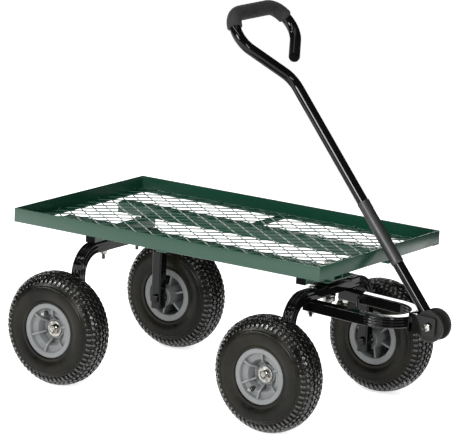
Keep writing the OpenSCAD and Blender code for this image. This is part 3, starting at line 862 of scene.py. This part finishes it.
def build_stub_axles():
    """The bolts that the wheels turn on, with their spacers, washers and lock nuts."""
    leg_out = LEG_Y + TUBE / 2 - WHEEL_Y
    leg_in = leg_out - TUBE
    radius = 6
    washer_in, washer_out = HUB_OUT + 0.4, HUB_OUT + 2.9
    lock_collar = lathe([(6.2, 5), (8.9, 5), (8.7, 8.2), (8.1, 9.2), (7.4, 9.2), (6.9, 8.4),
                         (6.2, 8.2)])
    for end, body in (("front", "steering"), ("rear", "chassis")):
        bolts, washers, nuts, spacers, heads = (Shape() for _ in range(5))
        for name, side in SIDES:
            place = wheel_place(end + "_" + name, side)
            bolts.add(rod([(radius, leg_in), (radius, HUB_OUT)]), place)
            bolts.add(thread(radius, 12.5, 1.5, 0.8), place @ shifted(HUB_OUT))
            heads.add(hexagon_head(19, 7), place @ shifted(leg_in) @ TURNED_OVER)
            spacers.add(washer(11, radius, leg_out, leg_out + 1.5), place)
            washers.add(washer(18.5, radius, washer_in, washer_out, 0.7), place)
            nuts.add(hexagon_head(19, 6.6, hole=6.2), place @ shifted(washer_out))
            nuts.add(lock_collar, place @ shifted(washer_out))
        bolts.piece(end + "_stub_shanks", ZINC, body, end + "_stub_bolts")
        heads.piece(end + "_stub_heads", BLACK, body, slot=end + "_stub_bolts")
        washers.piece(end + "_hub_plate_washers", ZINC, body, end + "_hub_washers")
        nuts.piece(end + "_hub_lock_nuts", ZINC, body, end + "_hub_nuts")
        spacers.piece(end + "_leg_spacers", ZINC, body, end + "_spacers")


# -------- handle

def hollow_rod(stations, steps=40):
    """The handle's round tube, open at both ends, along stations."""
    def skin_points(radius):
        section = circle_section(radius, steps)
        return sweep(stations, Z, lambda bent, distance: section)[0]

    outer, inner = skin_points(HANDLE_R), skin_points(HANDLE_R - HANDLE_WALL)
    count = len(stations)
    rings = [outer[i * steps:(i + 1) * steps] for i in range(count)]
    rings += [inner[i * steps:(i + 1) * steps] for i in reversed(range(count))]
    return skin(rings, looped=True)


def build_handle_tubes(loop_x):
    """The stem's two tubes, the upper one bent into the hand loop, and the loop's end cap."""
    lower = route((FOOT_START, 0, 0), X, Z, [("go", JOINT_S - FOOT_START)])
    tube = Shape(hollow_rod(lower), HANDLE)
    tube.piece("handle_lower_stem", BLACK, "handle", "handle_lower_tube")

    slope = cos(radians(45))
    stem = loop_x - 2 * LOOP_R * slope - LOOP_HALF
    foot_run = FOOT_R * tan(radians(22.5))
    diagonal = (loop_x - stem) / slope - LOOP_R - foot_run
    loop_bend = ("turn", LOOP_R, 135)
    steps = [("go", stem - foot_run - JOINT_S), ("turn", FOOT_R, -45), ("go", diagonal),
             loop_bend, ("go", 2 * LOOP_HALF), loop_bend, ("go", LOOP_TAIL)]
    upper = route((JOINT_S, 0, 0), X, Z, steps)
    tube = Shape(hollow_rod(upper), HANDLE)
    tube.piece("handle_upper_stem", BLACK, "handle", "handle_upper_tube")

    end, outward = upper[-1][0], upper[-1][1]
    cap = rod([(9, -6), (10.4, -5), (10.4, 0), (12.4, 0.1), (12.4, 1.4), (11.6, 2.6), (9.5, 3.2),
               (5, 3.0), (3.6, 1.6)])
    place = HANDLE @ axes(end, outward, Z, outward.cross(Z))
    Shape(cap, place).piece("handle_end_cap", PLASTIC, "handle", "handle_end_plug")


def build_sleeve():
    """The rubber sleeve over the stem's joint, with a bead at each end."""
    profile = [
        (SLEEVE_START, 12.6), (SLEEVE_START + 0.4, 13.5), (SLEEVE_START + 3, 14.1),
        (SLEEVE_START + 9, 14.2), (SLEEVE_START + 12, 13.8), (SLEEVE_END - 9, 13.8),
        (SLEEVE_END - 6, 14.1), (SLEEVE_END - 1, 14.1), (SLEEVE_END - 0.2, 13.6), (SLEEVE_END, 12.6)
    ]
    rings = [[Vector((s, *polar(r, 7.5 * k))) for k in range(48)] for s, r in profile]
    shape = Shape(skin(rings), HANDLE)
    shape.piece("handle_rubber_sleeve", RUBBER, "handle", "handle_sleeve")


def build_grip(loop_x):
    """The foam grip round the loop's bar and part of both its bends."""
    wrap = radians(GRIP_WRAP)
    start = (loop_x + LOOP_R * cos(wrap), -LOOP_HALF - LOOP_R * sin(wrap), 0)
    heading = around(1, 90 - GRIP_WRAP, 0)
    bend = ("turn", LOOP_R, GRIP_WRAP)
    stations = route(start, heading, Z, [bend, ("go", 2 * LOOP_HALF), bend], 6, 4)
    total = 2 * wrap * LOOP_R + 2 * LOOP_HALF

    def section(bent, distance):
        edge = min(distance, total - distance)
        shoulder = GRIP_R - 0.25 - 3.2 * max(0.0, 1 - edge / 2.2) ** 2
        ripple = 0.12 * sin(distance * 0.7) + 0.10 * sin(distance * 1.9)
        squeeze = -0.5 * bent
        outline = []
        for degrees in range(0, 360, 9):
            inner_side = max(0, -cos(radians(degrees)))
            outline.append(polar(shoulder + ripple + squeeze * inner_side, degrees))
        return outline

    shape = Shape(sweep(stations, Z, section), HANDLE)
    shape.piece("handle_foam_grip", FOAM, "handle", "handle_grip")


def cheek():
    """A round cheek with a dished face and a finely ribbed rim."""
    ribs, rib_steps, rib_depth, rim = 44, 6, 0.9, 33.5
    profile = [(5.1, 0.3), (34.0, 0.0), (35.0, 1.0), (35.0, 6.0), (34.0, 7.0), (29.5, 7.0),
               (28.5, 5.4), (14.5, 5.2), (13.5, 6.8), (5.1, 7.0)]
    steps = ribs * rib_steps
    rings = []
    for i in range(steps):
        dent = rib_depth if i % rib_steps >= 4 else 0
        radii = [(r - dent if r > rim else r, z) for r, z in profile]
        rings.append([around(r, 360 * i / steps, z) for r, z in radii])
    return skin(rings, looped=True)


def build_handle():
    """The handle, piece by piece from its foot to the grip, then its two cheeks."""
    loop_x = GRIP_REACH - LOOP_R
    build_handle_tubes(loop_x)
    build_sleeve()
    build_grip(loop_x)
    cheeks = Shape()
    for side in (LEFT, RIGHT):
        cheeks.add(cheek(), axes(PIVOT + Y * side * CHEEK_Y, X, -Z * side, Y * side))
    cheeks.piece("pivot_cheeks", CASTING, "handle", "pivot_discs")


# -------- wheels

def tread_radius(z):
    """Radius of the tread blocks' tops at a distance from the middle plane."""
    shoulder = SHOULDER_MID + sqrt(max(SHOULDER_R ** 2 - z * z, 0))
    crown = CROWN_MID + sqrt(CROWN_R ** 2 - z * z)
    return min(shoulder, crown)


def diamond(z, long, wide):
    """A block's outline: long in degrees along the tread, wide in millimetres across it."""
    return [(-long / 2, z), (0, z - wide / 2), (long / 2, z), (0, z + wide / 2)]


def tread_block(outline, angle, depth, rough, taper=0.82):
    """A block on the tread at an angle, its top uneven by up to rough."""
    middle = middle_of(outline)
    base, shoulder, top = [], [], []
    levels = ((base, 1.0, depth), (shoulder, taper + 0.04, 0.7), (top, taper - 0.10, 0.0))
    for a, z in outline:
        for ring, share, sink in levels:
            at = middle.x + (a - middle.x) * share
            across = middle.y + (z - middle.y) * share
            wear = 0 if ring is base else CHANCE.uniform(0, rough)
            radius = tread_radius(across) - sink - wear
            ring.append(around(radius, angle + at, across))
    return skin([base, shoulder, top])


def shoulder_lug(angle, width, side, low_z, high_z):
    """A lug that wraps from the tread's edge down over the shoulder. width is in degrees."""
    section = ((-1.0, -LUG_DEPTH), (-0.92, -1.0), (-0.72, 0.0), (0.72, 0.0), (0.92, -1.0),
               (1.0, -LUG_DEPTH))
    rings = []
    last = 6
    for i in range(last + 1):
        z = high_z + (low_z - high_z) * i / last
        radius = tread_radius(z)
        at_end = i in (0, last)
        reach = width / 2 * (0.75 if at_end else 1.0)
        normal = Vector((radius - SHOULDER_MID, z)).normalized()
        ring = []
        for u, lift in section:
            lift = min(lift, -1.6) if at_end else lift
            out, across = radius + normal.x * lift, z + normal.y * lift
            ring.append(around(out, angle + u * reach, side * across))
        rings.append(ring)
    return skin(rings)


def tyre_casing():
    """The casing with its sidewall rings, in the wheel's own frame."""
    half = [
        (51.2, 22.5), (51.2, 30.5), (54.0, 32.4), (59.0, 32.8), (61.9, 33.2), (62.2, 36.6),
        (62.6, 38.0), (63.6, 39.2), (65.2, 39.7), (67.2, 39.6), (68.4, 39.0), (69.6, 39.0),
        (72.5, 39.9), (78.0, 41.4), (84.0, 42.3), (89.0, 42.5), (93.0, 42.2), (95.4, 41.8),
        (96.0, 42.4), (97.0, 42.3), (97.6, 41.5), (100.0, 40.4), (100.6, 40.9), (101.6, 40.6),
        (102.0, 39.4), (104.8, 37.6), (109.2, 34.7), (113.9, 30.9), (118.6, 25.2), (122.3, 17.5),
        (125.0, 9.0)
    ]
    inner_half = [(115.0, 16.0), (103.0, 30.0), (84.0, 35.5), (66.0, 31.0), (58.0, 26.0)]
    outer = half + [(126.0, 0.0)] + [(r, -z) for r, z in reversed(half)]
    inner = [(r, -z) for r, z in reversed(inner_half)] + [(118.0, 0.0)] + inner_half
    return lathe(outer + inner, 180)


def tyre_tread():
    """The tread blocks and shoulder lugs, in the wheel's own frame."""
    # z, length in pitches, width, place in half pitches, depth, unevenness
    middle_rows = ((0, 0.88, 12.0, 0, 5.5, 0.9), (0, 0.30, 4.5, 1, 5.5, 1.2))
    side_rows = ((9.6, 0.84, 11.0, 1, 5.5, 0.9), (9.6, 0.30, 4.5, 0, 5.5, 1.2),
                 (19.0, 0.86, 11.0, 0, 5.6, 0.9), (19.0, 0.30, 4.5, 1, 5.6, 1.2),
                 (27.0, 0.74, 8.0, 1, 5.2, 0.9))
    # width in pitches, its ends across the tread: the two kinds alternate
    lugs = ((0.50, 38.6, 32.0), (0.58, 39.6, 31.0))
    shape = Shape()
    pitch = 360 / TREAD_PITCHES
    for i in range(TREAD_PITCHES):
        angle = pitch * i
        for side, rows in ((0, middle_rows), (LEFT, side_rows), (RIGHT, side_rows)):
            for z, long, wide, halves, depth, rough in rows:
                outline = diamond(side * z, pitch * long, wide)
                shape.add(tread_block(outline, angle + halves * pitch / 2, depth, rough))
            if side:
                width, low_z, high_z = lugs[i % 2]
                shape.add(shoulder_lug(angle + pitch / 2, pitch * width, side, low_z, high_z))
    return shape.points, shape.faces


def rib_plate(outline, turn):
    """A radial rib of the rim from an outline of (radius, height), thinner at its edges."""
    middle = middle_of(outline)
    rings = []
    for side, share in ((-1, 0.985), (-0.72, 1.0), (0.72, 1.0), (1, 0.985)):
        ring = []
        for r, z in outline:
            point = middle + (Vector((r, z)) - middle) * share
            ring.append(Vector((point.x, side * RIM_RIB_T / 2, point.y)))
        rings.append(ring)
    points, faces = skin(rings)
    spin = Matrix.Rotation(radians(turn), 4, "Z")
    return [spin @ p for p in points], faces


def rim_body():
    """The rim with its ribs, the first at angle 0, in the wheel's own frame."""
    inner = BEAD_R - 3.5
    bore = BEARING_R + 0.1
    profile = [
        (FLANGE_R, 33.4), (FLANGE_R, 35.9), (61.2, 36.8), (60.2, FLANGE_Z), (52.2, FLANGE_Z),
        (51.0, 36.6), (50.3, 35.6), (48.6, 28.8), (47.9, 27.6), (46.8, WEB_Z), (37.6, 26.7),
        (36.2, 26.2), (35.4, 25.0), (31.6, 8.4), (31.0, 7.2), (29.8, 6.6), (25.2, 6.3),
        (24.2, 6.6), (23.6, 7.6), (HUB_R, 9.3), (22.3, HUB_OUT), (15.4, HUB_OUT), (bore, 9.2),
        (bore, -54.2), (15.4, HUB_IN), (22.3, HUB_IN), (HUB_R, -54.3), (24.2, 1.6), (26.0, 2.4),
        (31.5, 3.0), (33.2, 4.2), (34.0, 6.0), (37.6, 22.2), (39.0, 23.0), (46.0, 23.0),
        (inner, 21.6), (inner, -35.6), (48.4, -36.8), (50.0, -FLANGE_Z), (60.2, -FLANGE_Z),
        (61.2, -36.8), (FLANGE_R, -35.9), (FLANGE_R, -33.4), (60.6, -32.7), (52.6, -32.0),
        (BEAD_R, -30.6), (BEAD_R, 30.6), (52.6, 32.0), (60.6, 32.7)
    ]
    front_rib = [(22.2, 3.0), (46.0, 24.5), (50.4, 33.0), (49.8, 35.6), (47.6, 35.8), (36.0, 32.2),
                 (30.5, 27.4), (22.2, 14.4)]
    back_rib = [(22.2, -33.0), (24.0, -34.6), (46.4, -34.6), (48.0, -33.0), (47.9, 23.5),
                (37.0, 23.2), (33.0, 4.5), (22.2, 1.5)]
    shape = Shape(lathe(profile, 144))
    for i in range(RIM_SPOKES):
        for outline in (front_rib, back_rib):
            shape.add(rib_plate(outline, 360 / RIM_SPOKES * i))
    return shape.points, shape.faces


def build_valve(name, body, place):
    """A rubber valve stem and its metal tip and cap."""
    rubber = rod([(4.6, 0), (5.6, 6), (5.6, 10.6), (4.9, 12.0), (4.2, 15), (3.2, 16)], 28)
    Shape(rubber, place).piece("valve_stem_" + name, RUBBER, body, "valve_" + name)
    cap = rod([(4.0, 0), (4.3, 0.4), (4.3, 3.6), (3.4, 4.6), (2.0, 4.6)], 24)
    tip = Shape(thread(2.7, 3.4, 0.8, 0.3, 24), place @ shifted(15.4))
    tip.add(cap, place @ shifted(18.2))
    tip.piece("valve_cap_" + name, ZINC, body, slot="valve_" + name)


def build_wheels():
    """Four wheels from one casing, tread and rim, each turned by its own angle."""
    casing, tread, rim = tyre_casing(), tyre_tread(), rim_body()
    valve_place = Matrix.Rotation(radians(90), 4, "Z") @ Matrix.Translation(
        (VALVE_AT, 0, WEB_Z - 8))
    for name, turn in WHEEL_TURNS.items():
        side = LEFT if name.endswith("left") else RIGHT
        body = "wheel_" + name
        spun = wheel_place(name, side) @ Matrix.Rotation(radians(turn), 4, "Z")
        for part, label, material in ((casing, "tyre", TYRE), (rim, "rim", RIM)):
            shape = Shape(part, spun)
            shape.piece("%s_moulded_%s" % (label, name), material, body, label + "_" + name)
        blocks = Shape(tread, spun)
        blocks.piece("tyre_tread_" + name, TREAD, body, slot="tyre_" + name, sharp=22)
        build_valve(name, body, spun @ valve_place)


# -------- stage

def look_from_front_right():
    """The camera: a long lens, from the front right and a little above."""
    azimuth, elevation, roll = (radians(a) for a in (34.202, 12.644, 2.311))
    distance, lens = 7.9423, 284.2
    target = Vector((-0.0818, 0, 0.3858))
    level = cos(elevation)
    back = Vector((sin(azimuth) * level, -cos(azimuth) * level, sin(elevation)))
    right = Vector((cos(azimuth), sin(azimuth), 0))
    up = back.cross(right)
    tilted_right = right * cos(roll) + up * sin(roll)
    tilted_up = up * cos(roll) - right * sin(roll)
    data = bpy.data.cameras.new("camera")
    data.sensor_width = 36
    data.lens = lens
    camera = put("camera", data)
    camera.matrix_world = axes(target + back * distance, tilted_right, tilted_up, back)
    bpy.context.scene.camera = camera


def softbox(name, at, aim, width, height, power, roll=0.0):
    """A rectangular light that faces aim. Sizes are in metres, power in watts."""
    data = bpy.data.lights.new(name, "AREA")
    data.shape = "RECTANGLE"
    data.size, data.size_y = width, height
    data.energy = power
    made = put(name, data)
    made.location = at
    facing = (Vector(aim) - Vector(at)).to_track_quat("-Z", "Y")
    made.rotation_euler = (facing @ Quaternion(Z, radians(roll))).to_euler()


def studio_world():
    """White behind the cart, dimmer as light, and dark where shiny surfaces mirror it."""
    as_light, as_mirrored = 0.42, 0.04
    world = bpy.data.worlds.new("studio")
    world.use_nodes = True
    tree = world.node_tree
    path = tree.nodes.new("ShaderNodeLightPath")
    strength = path.outputs["Is Camera Ray"]
    for kind, amount in (("Is Diffuse Ray", as_light), ("Is Glossy Ray", as_mirrored)):
        add = tree.nodes.new("ShaderNodeMath")
        add.operation = "MULTIPLY_ADD"
        add.inputs[1].default_value = amount
        tree.links.new(path.outputs[kind], add.inputs[0])
        tree.links.new(strength, add.inputs[2])
        strength = add.outputs["Value"]
    background = tree.nodes["Background"]
    background.inputs["Color"].default_value = (1, 1, 1, 1)
    tree.links.new(strength, background.inputs["Strength"])
    bpy.context.scene.world = world


def pale_floor():
    """White paper that glows a little, so that it meets the white behind it."""
    made, tree, shader = new_material("pale_floor")
    colour = ramp(tree, noise(tree, 3, 3), (0.3, grey(0.90)), (0.7, grey(0.92)))
    tree.links.new(colour, shader.inputs["Base Color"])
    fill(shader, Roughness=0.9, Emission_Color=(1, 1, 1, 1), Emission_Strength=0.70)
    return made


def build_stage():
    """The floor, the lights and the white surroundings."""
    studio_world()
    mesh = bpy.data.meshes.new("floor")
    corners = [(x, y, 0) for x, y in rectangle(-6.0, -6.0, 2.4, 1.84)]
    mesh.from_pydata(corners, [], [(0, 1, 2, 3)])
    mesh.materials.append(pale_floor())
    put("floor", mesh)
    softbox("front_panel", (0.45, -4.9, 1.9), (0.05, 0, 0.4), 1.5, 1.5, 225)
    softbox("front_strip", (0.1, -1.9, 2.7), (0.1, 0, 0.3), 3.0, 0.24, 36)
    softbox("arch_strip", (-3.5, -3.1, 4.2), (-0.1, -0.2, 0.3), 0.4, 4.6, 230, -36)
    softbox("right_panel", (2.5, -1.3, 0.9), (0.2, 0, 0.25), 0.35, 1.1, 26)
    softbox("overhead", (0.0, -0.3, 3.2), (0, 0, 0.2), 2.2, 1.4, 14)
    softbox("back_panel", (-3.27, 6.99, 2.45), (0.28, 0.07, 0.26), 1.8, 0.55, 22)
    softbox("left_panel", (-3.24, 2.0, 1.74), (-0.08, 0, 0.36), 1.8, 1.0, 13)
    bpy.context.scene.view_settings.view_transform = "Standard"


def plate_cad_metal():
    """Zinc on the CAD nodes that stay as they are."""
    for name in ["handle_spigot"] + ["bearings_" + wheel for wheel in WHEEL_TURNS]:
        slots = frame["nodes"][name].data.materials
        slots.clear()
        slots.append(ZINC)


look_from_front_right()
build_stage()
build_rails()
build_mesh()
build_underframe()
build_axles()
build_yoke()
build_clevis()
build_yoke_pin()
build_fasteners()
build_stub_axles()
build_handle()
build_wheels()
plate_cad_metal()
